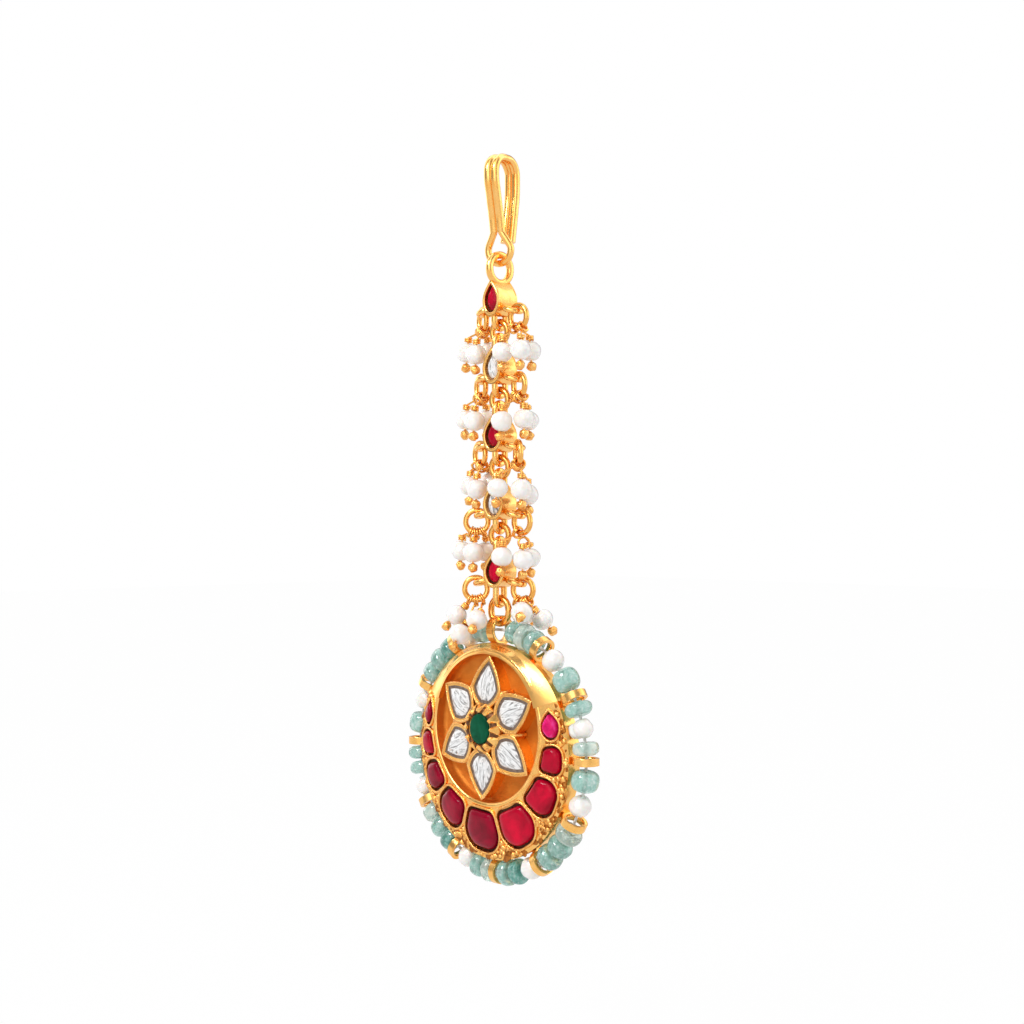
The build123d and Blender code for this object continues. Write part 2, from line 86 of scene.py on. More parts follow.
aim = Vector((1.2, 1.24, -49.9)) * MM
away = Vector((math.sin(HEADING), -math.cos(HEADING), 0))
camera_data = bpy.data.cameras.new("camera")
camera_data.lens, camera_data.sensor_width = LENS, SENSOR
camera_data.clip_start = NEAREST
camera = bpy.data.objects.new("camera", camera_data)
camera.location = aim + away * VIEW_DISTANCE
camera.rotation_euler = (math.radians(90), 0, HEADING)
scene.collection.objects.link(camera)
scene.camera = camera
scene.view_settings.view_transform = "Standard"


# ---------------------------------------------------------------- nodes
BUMP_DEPTH = 0.1 * MM
WHITE = (1, 1, 1, 1)


def put(tree, value, entry):
    """Link a socket into an input, or write a plain value there."""
    if isinstance(value, bpy.types.NodeSocket):
        tree.links.new(value, entry)
    else:
        entry.default_value = value


def fill(tree, node, **values):
    """Set a node's inputs or properties by name, with _ for a space; a socket is linked."""
    for key, value in values.items():
        label = key.replace("_", " ")
        if label in node.inputs:
            put(tree, value, node.inputs[label])
        else:
            setattr(node, key, value)
    return node


def add(tree, kind, **values):
    """A new node in a tree, with its inputs or properties set by name."""
    return fill(tree, tree.nodes.new(kind), **values)


def socket_group(name, inputs, outputs):
    """A node group with its sockets: (group, what it is given by name, what it results in by name)."""
    group = bpy.data.node_groups.new(name, "ShaderNodeTree")
    for label, kind, default in inputs:
        made = group.interface.new_socket(name=label, in_out="INPUT", socket_type=kind)
        made.default_value = default
    for label, kind in outputs:
        group.interface.new_socket(name=label, in_out="OUTPUT", socket_type=kind)
    return group, group.nodes.new("NodeGroupInput").outputs, group.nodes.new("NodeGroupOutput").inputs


def maths(tree, operation, *values):
    """A math node over sockets or plain numbers."""
    node = add(tree, "ShaderNodeMath", operation=operation)
    for value, entry in zip(values, node.inputs):
        put(tree, value, entry)
    return node.outputs[0]


def noise_value(tree, place, **values):
    """A noise texture's value, which runs from 0 to 1 round 0.5."""
    return add(tree, "ShaderNodeTexNoise", Vector=place, **values).outputs["Fac"]


def spread(tree, value, **ends):
    """A value moved from one range to another and held inside it; an end that isn't given is 0 or 1."""
    return add(tree, "ShaderNodeMapRange", Value=value, **ends).outputs["Result"]


def mixed(tree, factor, first, second):
    """Two colours mixed by a factor."""
    return add(tree, "ShaderNodeMix", data_type="RGBA", Factor=factor, A=first, B=second).outputs["Result"]


def mixed_shaders(tree, factor, first, second):
    """Two shaders mixed by a factor."""
    node = add(tree, "ShaderNodeMixShader")
    for value, entry in zip((factor, first, second), node.inputs):
        put(tree, value, entry)
    return node.outputs[0]


def ramp(tree, value, *stops):
    """A colour ramp over a value, with two stops of (place, colour)."""
    node = add(tree, "ShaderNodeValToRGB")
    for element, (place, colour) in zip(node.color_ramp.elements, stops):
        element.position, element.color = place, (*colour, 1)
    put(tree, value, node.inputs[0])
    return node.outputs["Color"]


def relief(tree, height, strength):
    """Normals that follow a height."""
    bump = add(tree, "ShaderNodeBump", Distance=BUMP_DEPTH, Height=height, Strength=strength)
    return bump.outputs["Normal"]


def mapped(tree, place, **values):
    """Coordinates that are scaled or turned."""
    return add(tree, "ShaderNodeMapping", Vector=place, **values).outputs["Vector"]


def fine_coordinates(tree, stretch=(1, 1, 1)):
    """Object coordinates in millimetres."""
    place = add(tree, "ShaderNodeTexCoord").outputs["Object"]
    return mapped(tree, place, Scale=tuple(FINE * s for s in stretch))


# ---------------------------------------------------------------- materials
def make_metal_group():
    """Worked metal: soft changes of tone and roughness, and tiny dents."""
    group, given, result = socket_group(
        "worked_metal",
        [("Light", "NodeSocketColor", (1, 1, 1, 1)), ("Deep", "NodeSocketColor", (0, 0, 0, 1)),
         ("Tone Scale", "NodeSocketFloat", 1.0), ("Dent Scale", "NodeSocketFloat", 1.0),
         ("Dent Height", "NodeSocketFloat", 0.1), ("Smooth", "NodeSocketFloat", 0.1),
         ("Rough", "NodeSocketFloat", 0.3)],
        [("Color", "NodeSocketColor"), ("Roughness", "NodeSocketFloat"), ("Normal", "NodeSocketVector")])
    place = fine_coordinates(group)
    tone = noise_value(group, place, Scale=given["Tone Scale"], Detail=3.0, Roughness=0.6)
    dents = noise_value(group, place, Scale=given["Dent Scale"], Detail=4.0, Roughness=0.55)
    share = spread(group, tone, From_Min=0.3, From_Max=0.7)
    put(group, mixed(group, share, given["Deep"], given["Light"]), result["Color"])
    put(group, spread(group, tone, From_Min=0.35, From_Max=0.65, To_Min=given["Rough"],
                      To_Max=given["Smooth"]), result["Roughness"])
    put(group, relief(group, dents, given["Dent Height"]), result["Normal"])
    return group


def make_stone_group():
    """Inside of a stone: cloudy patches in three colours, with pale flecks."""
    group, given, result = socket_group(
        "stone_depth",
        [("Vector", "NodeSocketVector", (0, 0, 0)), ("Shade", "NodeSocketColor", (0, 0, 0, 1)),
         ("Body", "NodeSocketColor", (0.5, 0.5, 0.5, 1)), ("Glow", "NodeSocketColor", (1, 1, 1, 1)),
         ("Cloud Scale", "NodeSocketFloat", 1.0), ("Warp", "NodeSocketFloat", 1.0),
         ("Dark From", "NodeSocketFloat", 0.3), ("Dark To", "NodeSocketFloat", 0.52),
         ("Flecks", "NodeSocketFloat", 0.0)],
        [("Color", "NodeSocketColor"), ("Mask", "NodeSocketFloat")])
    patches = noise_value(group, given["Vector"], Scale=given["Cloud Scale"], Detail=5.0, Roughness=0.6,
                          Distortion=given["Warp"])
    dark = spread(group, patches, From_Min=given["Dark From"], From_Max=given["Dark To"])
    bright = spread(group, patches, From_Min=0.52, From_Max=0.72)
    cloudy = mixed(group, bright, mixed(group, dark, given["Shade"], given["Body"]), given["Glow"])
    specks = noise_value(group, given["Vector"], Scale=2.6, Detail=3.0, Roughness=0.7, Distortion=0.8)
    share = maths(group, "MULTIPLY", spread(group, specks, From_Min=0.6, From_Max=0.68), given["Flecks"])
    put(group, mixed(group, share, cloudy, (0.97, 0.98, 0.95, 1)), result["Color"])
    put(group, patches, result["Mask"])
    return group


METAL = make_metal_group()
DEPTH = make_stone_group()


def blank(name):
    """A material with its Principled BSDF: (material, tree, shader)."""
    made = bpy.data.materials.new(name)
    made.use_nodes = True
    return made, made.node_tree, made.node_tree.nodes["Principled BSDF"]


def gold(name, light, deep, smooth, rough, tone=0.6, dent_scale=1.5, dent_height=0.3):
    """Worked metal between two colours and two roughnesses."""
    made, tree, shader = blank(name)
    work = add(tree, "ShaderNodeGroup", node_tree=METAL, Light=(*light, 1), Deep=(*deep, 1), Smooth=smooth,
               Rough=rough, Tone_Scale=tone, Dent_Scale=dent_scale, Dent_Height=dent_height).outputs
    fill(tree, shader, Metallic=1.0, Base_Color=work["Color"], Roughness=work["Roughness"],
         Normal=work["Normal"])
    return made


def stone(name, shade, body, glow, cloud=1.0, warp=1.0, dark=(0.3, 0.52), flecks=0.0, streak=(1, 1, 1),
          grain=None, bump=0.0, **values):
    """A stone in three colours, from its shade to its glow; other values go to its shader.

    Patches have the scale cloud and the swirl warp, and the shade fades out between the two dark values. With
    grain set, they follow that UV map, stretched by streak.
    """
    made, tree, shader = blank(name)
    if grain:
        place = mapped(tree, add(tree, "ShaderNodeUVMap", uv_map=grain).outputs["UV"], Scale=streak)
    else:
        place = fine_coordinates(tree, streak)
    depth = add(tree, "ShaderNodeGroup", node_tree=DEPTH, Vector=place, Shade=(*shade, 1), Body=(*body, 1),
                Glow=(*glow, 1), Cloud_Scale=cloud, Warp=warp, Dark_From=dark[0], Dark_To=dark[1],
                Flecks=flecks).outputs
    fill(tree, shader, Base_Color=depth["Color"], **values)
    if bump:
        fill(tree, shader, Normal=relief(tree, depth["Mask"], bump))
    return made


def make_dish():
    """Satin gold with short hammered strokes, all at one slant."""
    made, tree, shader = blank("satin_dish_gold")
    place = fine_coordinates(tree)
    tone = noise_value(tree, place, Scale=0.35, Detail=3.0)
    slanted = mapped(tree, place, Scale=(1.5, 1.0, 9.0), Rotation=(0, math.radians(-35), 0))
    strokes = noise_value(tree, slanted, Scale=1.0, Detail=4.0, Distortion=0.4)
    fill(tree, shader, Metallic=0.65, Normal=relief(tree, strokes, 0.8),
         Base_Color=ramp(tree, tone, (0.3, (0.66, 0.2, 0.018)), (0.7, (0.8, 0.3, 0.04))),
         Roughness=spread(tree, strokes, To_Min=0.42, To_Max=0.6))
    return made


POLISHED = gold("polished_gold", (0.95, 0.56, 0.19), (0.92, 0.48, 0.12), 0.16, 0.28, dent_height=0.35)
BAND = gold("satin_band_gold", (0.95, 0.55, 0.18), (0.93, 0.5, 0.13), 0.27, 0.36, dent_height=0.15)
WIRE = gold("drawn_wire_gold", (0.92, 0.52, 0.16), (0.82, 0.37, 0.075), 0.14, 0.26, tone=1.2, dent_scale=1.6)
CAST = gold("cast_gold", (0.95, 0.55, 0.19), (0.84, 0.37, 0.07), 0.22, 0.38, tone=1.6, dent_scale=3.2,
            dent_height=1.0)
# Dark brown bed: painted shade in the gaps round the red stones.
SHADE_BED = gold("painted_shade_bed", (0.11, 0.045, 0.025), (0.04, 0.016, 0.012), 0.4, 0.6, tone=2.0, dent_scale=4.0,
           dent_height=0.8)
# Orange-brown flat spots: painted shade in the crevices among the border grains.
HOLLOW_SHADE = gold("painted_border_shade", (0.62, 0.22, 0.04), (0.3, 0.09, 0.015), 0.35, 0.5, tone=3.0, dent_scale=4.0,
              dent_height=0.8)
# Dark collar under the claws: painted shade between them.
CLAW_SHADE = gold("painted_claw_shade", (0.24, 0.11, 0.055), (0.09, 0.04, 0.022), 0.4, 0.6, tone=2.0,
                dent_scale=4.0, dent_height=0.8)
# Grey-brown bed: painted shade in the gaps round the clear stones.
GAP_SHADE = gold("grey_gap_shade_bed", (0.34, 0.25, 0.2), (0.14, 0.1, 0.085), 0.35, 0.5, tone=2.5, dent_scale=5.0,
              dent_height=0.8)
DISH = make_dish()

RED_GLOSS = {"warp": 0.6, "Roughness": 0.1, "IOR": 1.33, "Specular_IOR_Level": 0.3}
BEAD_GLOSS = {"cloud": 1.1, "warp": 1.2, "Roughness": 0.05, "IOR": 1.5, "Specular_IOR_Level": 1.0}
# One ruby in two copies: a darker one of painted shade and a lighter one of painted light.
SHADED_RUBY = stone("ruby", (0.16, 0.0, 0.01), (0.3, 0.0, 0.02), (0.44, 0.0, 0.03), cloud=0.24, **RED_GLOSS)
LIT_RUBY = stone("painted_lit_ruby", (0.28, 0.0, 0.012), (0.5, 0.0, 0.024), (0.75, 0.0, 0.035), cloud=0.24,
               **RED_GLOSS)
PINK = stone("pink_ruby", (0.5, 0.003, 0.08), (0.82, 0.008, 0.16), (0.95, 0.08, 0.4), cloud=0.8,
             **RED_GLOSS)
CLEAR = stone("clear_stone", (0.1, 0.09, 0.085), (0.9, 0.9, 0.9), (1.0, 1.0, 1.0), cloud=0.36, warp=2.4,
              dark=(0.33, 0.5), streak=(4.0, 0.9, 1.0), grain="grain", bump=0.4, Roughness=0.08, IOR=1.5)
GREEN = stone("green_stone", (0.001, 0.05, 0.022), (0.002, 0.095, 0.042), (0.004, 0.125, 0.06), cloud=0.5,
              Roughness=0.2, IOR=1.33, Specular_IOR_Level=0.15)
AQUA = stone("aqua_stone", (0.24, 0.54, 0.46), (0.45, 0.74, 0.66), (0.86, 0.95, 0.92), flecks=0.75,
             Transmission_Weight=0.55, **BEAD_GLOSS)
TEAL = stone("teal_stone", (0.07, 0.34, 0.28), (0.2, 0.54, 0.46), (0.62, 0.84, 0.78), flecks=0.75,
             Transmission_Weight=0.5, **BEAD_GLOSS)
STRAW = stone("straw_stone", (0.46, 0.68, 0.6), (0.72, 0.86, 0.78), (0.95, 0.92, 0.8), flecks=0.9,
              Transmission_Weight=0.6, **BEAD_GLOSS)
PEARL = stone("pearl", (0.96, 0.87, 0.78), (0.985, 0.95, 0.91), (0.995, 0.98, 0.96), cloud=0.45, warp=0.6,
              bump=0.05, Roughness=0.2, IOR=1.6, Specular_IOR_Level=0.8, Subsurface_Weight=0.15,
              Subsurface_Scale=0.5 * MM)
THREAD = stone("silk_thread", (0.6, 0.58, 0.54), (0.85, 0.84, 0.8), (0.9, 0.9, 0.88), cloud=6.0, bump=1.0,
               Roughness=0.8)


# ---------------------------------------------------------------- pieces
def finish(bm, name, material, body, replaces=(), sharp=None, turned=True):
    """Turn a bmesh in metres into a piece that rides on a body.

    Edges over sharp degrees stay crisp; turned=False keeps faces that already look out.
    """
    if turned:
        bmesh.ops.recalc_face_normals(bm, faces=bm.faces)
    mesh = bpy.data.meshes.new(name)
    bm.to_mesh(mesh)
    bm.free()
    for face in mesh.polygons:
        face.use_smooth = True
    if sharp is not None:
        mesh.set_sharp_from_angle(angle=math.radians(sharp))
    return settle(bpy.data.objects.new(name, mesh), material, body, replaces)


def settle(piece, material, body, replaces=()):
    """Give a piece its material, or its list of them, and its place in the model."""
    materials = material if isinstance(material, list) else [material]
    for one in materials:
        piece.data.materials.append(one)
    scene.collection.objects.link(piece)
    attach(piece, body)
    if replaces:
        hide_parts(*replaces)
    return piece


def wires(name, paths, radius, material, body, replaces=(), sides=3):
    """Round wires as one curve: paths are (points in metres, closed), and sides refines their section."""
    data = bpy.data.curves.new(name, "CURVE")
    data.dimensions = "3D"
    data.bevel_depth = radius
    data.bevel_resolution = sides
    data.use_fill_caps = True
    for points, closed in paths:
        spline = data.splines.new("POLY")
        spline.points.add(len(points) - 1)
        for place, point in zip(points, spline.points):
            point.co = (*place, 1)
        spline.use_cyclic_u = closed
        spline.use_smooth = True
    return settle(bpy.data.objects.new(name, data), material, body, replaces)


# ---------------------------------------------------------------- places read from the CAD
SEARCH_STEP = 6                      # degrees


def islands(node):
    """The separate solids of a CAD node, each as its list of corners."""
    bm = bmesh.new()
    bm.from_mesh(nodes[node].data)
    bmesh.ops.remove_doubles(bm, verts=bm.verts, dist=1e-6)
    bm.verts.ensure_lookup_table()
    seen, found = set(), []
    for start in bm.verts:
        if start.index in seen:
            continue
        group, waiting = [], [start]
        seen.add(start.index)
        while waiting:
            vert = waiting.pop()
            group.append(vert.co.copy())
            for edge in vert.link_edges:
                other = edge.other_vert(vert)
                if other.index not in seen:
                    seen.add(other.index)
                    waiting.append(other)
        found.append(group)
    bm.free()
    return found


def middle(points):
    """The mean of some points."""
    return sum(points, Vector()) / len(points)


def box_middle(points):
    """The middle of the box round some points."""
    return Vector([(min(p[i] for p in points) + max(p[i] for p in points)) / 2 for i in range(3)])


def basis(origin, z_axis, x_hint=Vector((1, 0, 0))):
    """A frame at origin whose z runs along z_axis and whose x is near x_hint."""
    z = z_axis.normalized()
    x = (x_hint - z * x_hint.dot(z)).normalized()
    y = z.cross(x)
    return Matrix.Translation(origin) @ Matrix((x, y, z)).transposed().to_4x4()


def facing(node, way):
    """The outward direction of a CAD node's broadest flat side, on the side that faces way."""
    sums = {}
    for face in nodes[node].data.polygons:
        if face.normal.dot(way) > 0.7:
            key = tuple(round(n, 2) for n in face.normal)
            sums.setdefault(key, [0.0, Vector()])
            sums[key][0] += face.area
            sums[key][1] += face.normal * face.area
    return max(sums.values(), key=lambda s: s[0])[1].normalized()


def flat_normal(points, centre):
    """The direction across a flat ring of points: the one that they spread least along."""
    best, found = math.inf, ACROSS
    for tilt in range(-60, 61, SEARCH_STEP):
        for turn in range(0, 180, SEARCH_STEP):
            t, a = math.radians(tilt), math.radians(turn)
            way = Vector((math.cos(t) * math.cos(a), math.cos(t) * math.sin(a), math.sin(t)))
            off = sum((p - centre).dot(way) ** 2 for p in points[::7])
            if off < best:
                best, found = off, way
    return found


# ---------------------------------------------------------------- outlines
CORNER = math.radians(25)            # a bend sharper than this keeps its point


def outline(points, place):
    """The convex outline, in a frame's own x and y, of points seen along its z; counter-clockwise."""
    inverse = place.inverted()
    flat = sorted({(round(p.x, 7), round(p.y, 7)) for p in (inverse @ q for q in points)})
    chains = []
    for row in (flat, flat[::-1]):
        chain = []
        for spot in (Vector(pair) for pair in row):
            while len(chain) > 1 and (chain[-1] - chain[-2]).cross(spot - chain[-1]) <= 0:
                chain.pop()
            chain.append(spot)
        chains += chain[:-1]
    return chains


def moved_outline(shape, distance):
    """A convex outline with every side moved outwards, or inwards where distance is below zero."""
    sides = [(a, b) for a, b in zip(shape, shape[1:] + shape[:1]) if (b - a).length > 1e-7]
    reach = 4 * max(p.length for p in shape)
    moved = [Vector(c) * reach for c in ((-1, -1), (1, -1), (1, 1), (-1, 1))]
    for a, b in sides:
        along = (b - a).normalized()
        out = Vector((along.y, -along.x))
        limit = out.dot(a) + distance
        kept = []
        for p, q in zip(moved, moved[1:] + moved[:1]):
            dp, dq = out.dot(p) - limit, out.dot(q) - limit
            if dp <= 0:
                kept.append(p)
            if (dp < 0 < dq) or (dq < 0 < dp):
                kept.append(p + (q - p) * (dp / (dp - dq)))
        moved = kept
    return moved


def even(shape, count):
    """The same closed outline with evenly spaced corners; its sharp points are kept."""
    lengths = [(b - a).length for a, b in zip(shape, shape[1:] + shape[:1])]
    total, made, side, gone = sum(lengths), [], 0, 0.0
    for k in range(count):
        at = total * k / count
        while gone + lengths[side] < at:
            gone += lengths[side]
            side += 1
        a, b = shape[side], shape[(side + 1) % len(shape)]
        made.append(a + (b - a) * ((at - gone) / lengths[side]))
    for before, tip, after in zip(shape[-1:] + shape[:-1], shape, shape[1:] + shape[:1]):
        if (tip - before).angle(after - tip, 0.0) > CORNER:
            made[min(range(count), key=lambda k: (made[k] - tip).length)] = tip
    return made


def within(spot, shape):
    """Whether a place lies inside a convex, counter-clockwise outline."""
    return all((b - a).cross(spot - a) >= 0 for a, b in zip(shape, shape[1:] + shape[:1]))


# ---------------------------------------------------------------- forms
def loft_rows(bm, rows):
    """A closed skin over rows of corners that run counter-clockwise as seen from the last row's side."""
    rings = [[bm.verts.new(place) for place in row] for row in rows]
    for one, other in zip(rings, rings[1:]):
        for a, b, c, d in zip(one, one[1:] + one[:1], other[1:] + other[:1], other):
            bm.faces.new((a, b, c, d))
    bm.faces.new(rings[0][::-1])
    bm.faces.new(rings[-1])


def spin_profile(bm, profile, steps, closed=True):
    """A skin turned round the z axis from a profile of (radius, height) in millimetres."""
    verts = [bm.verts.new(Vector((r * MM, 0, z * MM))) for r, z in profile]
    after = verts[1:] + verts[:1] if closed else verts[1:]
    edges = [bm.edges.new(pair) for pair in zip(verts, after)]
    bmesh.ops.spin(bm, geom=verts + edges, axis=(0, 0, 1), cent=(0, 0, 0), steps=steps, angle=FULL_TURN,
                   use_merge=True)


def raise_block(bm, floor, lift):
    """A closed block on a flat floor of corners; lift gives the place above each corner."""
    face = bm.faces.new([bm.verts.new(corner) for corner in floor])
    made = bmesh.ops.extrude_face_region(bm, geom=[face])
    for vert in (g for g in made["geom"] if isinstance(g, bmesh.types.BMVert)):
        vert.co = lift(vert.co)


def helix(place, radius, pitch, turns, start, steps=18):
    """Points of a coil round a frame's z, with its middle at the origin."""
    made = []
    for k in range(int(turns * steps) + 1):
        angle = start + FULL_TURN * k / steps
        made.append(place @ Vector((radius * math.cos(angle), radius * math.sin(angle),
                                    pitch * (k / steps - turns / 2))))
    return made


def lump(bm, centre, radius, seed, rough, detail, levels=4, squash=None, axis=None, dimple=0.0):
    """A slightly uneven ball; squash is (axis, factor), and dimple sinks its ends along axis."""
    ball = bmesh.ops.create_icosphere(bm, subdivisions=levels, radius=1.0)
    shift = Vector((seed * 3.7, seed * 1.3, seed * 2.1))
    for vert in ball["verts"]:
        way = vert.co.normalized()
        size = 1 + rough * noise.noise(way * detail + shift)
        size += 0.35 * rough * noise.noise(way * detail * 3 + shift)
        if axis is not None:
            size -= dimple * math.exp(-((1 - abs(way.dot(axis))) / 0.035))
        place = way * radius * size
        if squash:
            place -= squash[0] * place.dot(squash[0]) * (1 - squash[1])
        vert.co = centre + place


def rondelle(bm, centre, along, half, wide, seed, tint):
    """A rounded disc bead round its hole, pebble-like; tint chooses its material."""
    ball = bmesh.ops.create_uvsphere(bm, u_segments=36, v_segments=20, radius=1.0)
    place = basis(centre, along)
    shift = Vector((seed * 2.3, seed * 0.7, seed * 1.9))
    for face in {face for vert in ball["verts"] for face in vert.link_faces}:
        face.material_index = tint
    for vert in ball["verts"]:
        c = vert.co.copy()
        around = max(math.hypot(c.x, c.y), 1e-6)
        swell = around ** (0.6 - 1)
        rough = 0.99 + 0.05 * noise.noise(c * 1.3 + shift) + 0.02 * noise.noise(c * 4 + shift)
        sink = 0.12 * math.exp(-((around / 0.3) ** 2))
        z = math.copysign(abs(c.z) ** 0.8, c.z) * (1 - sink)
        vert.co = place @ Vector((c.x * swell * wide * rough, c.y * swell * wide * rough, z * half))


def faceted(bm, shape, place, base, girdle, top, table, seed, jitter, steps=(0.55,)):
    """A faceted stone over an outline: upright girdle, sloping crown and flat table.

    The rows are at the heights base, girdle and top, and at steps of the crown; table is the width of the
    flat, as a share of the outline, and jitter makes the crown and table uneven.
    """
    centre = sum(shape, Vector((0, 0))) / len(shape)
    rows = [(1.0, base), (1.0, girdle)]
    rows += [(1 - (1 - table) * s, girdle + (top - girdle) * (1 - (1 - s) ** 1.6)) for s in steps]
    rows.append((table, top))
    pick = random.Random(seed)
    rings = []
    for scale, height in rows:
        off = jitter if height > girdle else 0.0
        ring = []
        for p in shape:
            spot = centre + (p - centre) * (scale + pick.uniform(-off, off))
            ring.append(place @ Vector((spot.x, spot.y, height * (1 + pick.uniform(-off, off) * 0.5))))
        rings.append(ring)
    loft_rows(bm, rings)


def grain_map(piece, place):
    """A UV map in millimetres of the frame's x and y, for streaks."""
    layer = piece.data.uv_layers.new(name="grain")
    inverse = place.inverted()
    for loop in piece.data.loops:
        spot = inverse @ piece.data.vertices[loop.vertex_index].co
        layer.data[loop.index].uv = (spot.x * FINE, spot.y * FINE)


# ---------------------------------------------------------------- chain
# Radii, in millimetres
DROP_PEARL = 1.5
PIN_BALL = 0.68
PIN_WIRE = 0.15
EYE = 0.78                           # the doubled eye of a head pin
NECK = 0.46                          # the wrapped neck below it
LIP_WIRE = 0.24
# Rise of a coil in one turn, in millimetres
EYE_PITCH, NECK_PITCH = 0.32, 0.25
# Distances from the middle of a pearl along its pin, in millimetres
PEARL_HOLE = 1.3
NECK_CENTRE = 1.85
PIN_END = 2.0
BALL_CENTRE = 2.16
NECK_BEND = 2.2
EYE_REACH = 2.05                     # how far the corners of an eye lie from the upper end of its pin
# How far a collet's parts reach past the outline of the CAD's stone, in millimetres
LIP_OFFSET, COLLET_BED, COLLET_GEM = 0.32, 0.1, -0.16

random.seed(11)


def pearl_drops(level):
    """The pearls of one level, each on a pin with a doubled eye, a wrapped neck and a melted ball end."""
    pearls = [box_middle(p) for p in islands(f"drop_pearls_{level}")]
    pins = islands(f"drop_pins_{level}")
    balls, beads, paths = bmesh.new(), bmesh.new(), []
    for number, heart in enumerate(pearls):
        pin = min(pins, key=lambda p: min((v - heart).length for v in p))
        below = [v for v in pin if v.z < heart.z and (v - heart).length > DROP_PEARL * MM]
        way = (middle(below) - heart).normalized()
        crest = max(pin, key=lambda v: (v - heart).length - 0.5 * (heart.z - v.z))
        head = [v for v in pin if (v - crest).length < EYE_REACH * MM]
        eye = box_middle(head)
        bend = heart - way * NECK_BEND * MM
        seed = 10 * level + number
        lump(beads, heart, DROP_PEARL * MM, seed, rough=0.07, detail=1.1,
             squash=(way, random.uniform(0.93, 1.0)), axis=way, dimple=0.08)
        lump(balls, heart + way * BALL_CENTRE * MM, PIN_BALL * MM, seed, rough=0.24, detail=1.3)
        coil = basis(eye, flat_normal(head, eye))
        paths.append((helix(coil, EYE * MM, EYE_PITCH * MM, turns=1.9, start=seed), False))
        neck = basis(heart - way * NECK_CENTRE * MM, way)
        paths.append((helix(neck, NECK * MM, NECK_PITCH * MM, turns=2.6, start=seed, steps=16), False))
        hang = eye + (bend - eye).normalized() * EYE * MM
        paths.append(([hang, hang.lerp(bend, 0.6), bend, heart - way * PEARL_HOLE * MM], False))
        paths.append(([heart + way * PEARL_HOLE * MM, heart + way * PIN_END * MM], False))
    wires(f"pin_wires_{level}", paths, PIN_WIRE * MM, WIRE, CHAIN, (f"drop_pins_{level}",), sides=2)
    finish(balls, f"pin_balls_{level}", CAST, CHAIN, turned=False)
    finish(beads, f"pearls_{level}", PEARL, CHAIN, (f"drop_pearls_{level}",), turned=False)


def collet_finish(level):
    """Rounded lips round both stones of a collet, a dark bed of painted shade in the gap round each stone,
    and the stones themselves.
    """
    node = f"collet_stones_{level}"
    turn = facing(node, FORWARD)
    lips, bed, stones = [], bmesh.new(), bmesh.new()
    corners = [v.co.copy() for v in nodes[node].data.vertices]
    heart = box_middle(corners)
    halves = [[c for c in corners if (c - heart).dot(turn) * side > 0] for side in (1, -1)]
    for side, points in zip((1, -1), halves):
        place = basis(box_middle(points), turn * side)
        shape = outline(points, place)
        depth = max((place.inverted() @ p).z for p in points)
        rim = even(moved_outline(shape, LIP_OFFSET * MM), count=44)
        front = depth + 0.1 * MM
        lips.append(([place @ Vector((p.x, p.y, front - 0.14 * MM)) for p in rim], True))
        floor = even(moved_outline(shape, COLLET_BED * MM), count=40)
        rise = place.to_3x3() @ Vector((0, 0, 1.25 * depth))
        raise_block(bed, [place @ Vector((p.x, p.y, -depth)) for p in floor], lambda spot: spot + rise)
        facets = even(moved_outline(shape, COLLET_GEM * MM), count=14)
        faceted(stones, facets, place, base=-0.6 * depth, girdle=0.45 * depth, top=1.15 * depth, table=0.5,
                seed=level, jitter=0.05)
    wires(f"collet_lips_{level}", lips, LIP_WIRE * MM, POLISHED, CHAIN)
    # The bed is painted shade: dark brown round red stones, grey round clear ones.
    finish(bed, f"collet_bed_{level}", SHADE_BED if level % 2 else GAP_SHADE, CHAIN, sharp=40)
    # Red collet stones take the lighter copy of the ruby, painted light.
    slot, material = ("ruby", LIT_RUBY) if level % 2 else ("clear_stone", CLEAR)
    piece = finish(stones, f"collet_gems_{level}", material, CHAIN, (node,), sharp=15)
    grain_map(piece, basis(Vector(), turn))


for level in LEVELS:
    pearl_drops(level)
    collet_finish(level)
    nodes[f"collet_{level}"].material_slots[0].material = POLISHED
nodes["hair_hook"].material_slots[0].material = POLISHED
for name in ("pendant_link", "drop_rings_left", "drop_rings_right"):
    nodes[name].material_slots[0].material = WIRE
for number in CHAIN_LINKS:
    nodes[f"chain_link_{number}"].material_slots[0].material = WIRE

# ---------------------------------------------------------------- pendant
thread_low, thread_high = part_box("rim_thread")
DISC = (thread_low + thread_high) / 2
gem_low, gem_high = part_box("centre_stone")
HEART = (gem_low + gem_high) / 2
FRONT = basis(DISC, FORWARD)                  # x right, y up, z to the front
RING_OFFSET = HEART.z - DISC.z                # the dish and its flower sit this far above the disc's middle
DISH_PLACE = FRONT @ Matrix.Translation((0, RING_OFFSET, 0))
RIM_RADIUS = 15.36 * MM
RIM_FRONT = 1.5 * MM
DISH_RADIUS = 10.58 * MM
RING_OUTER = 11.34 * MM
RING_FRONT = 2.7 * MM
LOOP_RADIUS = 17.15 * MM                      # where the bead string's loops stand round the rim
BAND_HALF = math.radians(58.5)                # how far the upper band runs to each side of the top
LOOPS = 12
CLAWS = 12
HALVINGS = 30
# Radii of wires and pearls, in millimetres
CELL_WIRE, BEZEL_WIRE, JOINT_WIRE = 0.19, 0.21, 0.32
RIM_PEARL, BAROQUE_PEARL, BAROQUE_LOBE = 1.57, 1.42, 1.2
LOBE_CENTRE = 1.15                            # how far the lobe sits from the middle of its pearl
# How far parts reach past the outline of the CAD's stone, in millimetres
CELL_WALL, CELL_BED, SMALL_RUBY, LARGE_RUBY = 0.27, 0.12, -0.2, -0.32
BEZEL, PETAL_BED, PETAL_GEM = 0.5, 0.38, -0.32
GRAIN_FREE = 0.42                             # no grain sits nearer to a red stone than this
# Grains: how many are tried, between which angles from the top, radii and sizes in millimetres
GRAIN_TRIES = 900
GRAIN_ANGLES, GRAIN_RADII, GRAIN_SIZES = (60, 300), (11.9, 15.1), (0.2, 0.65)


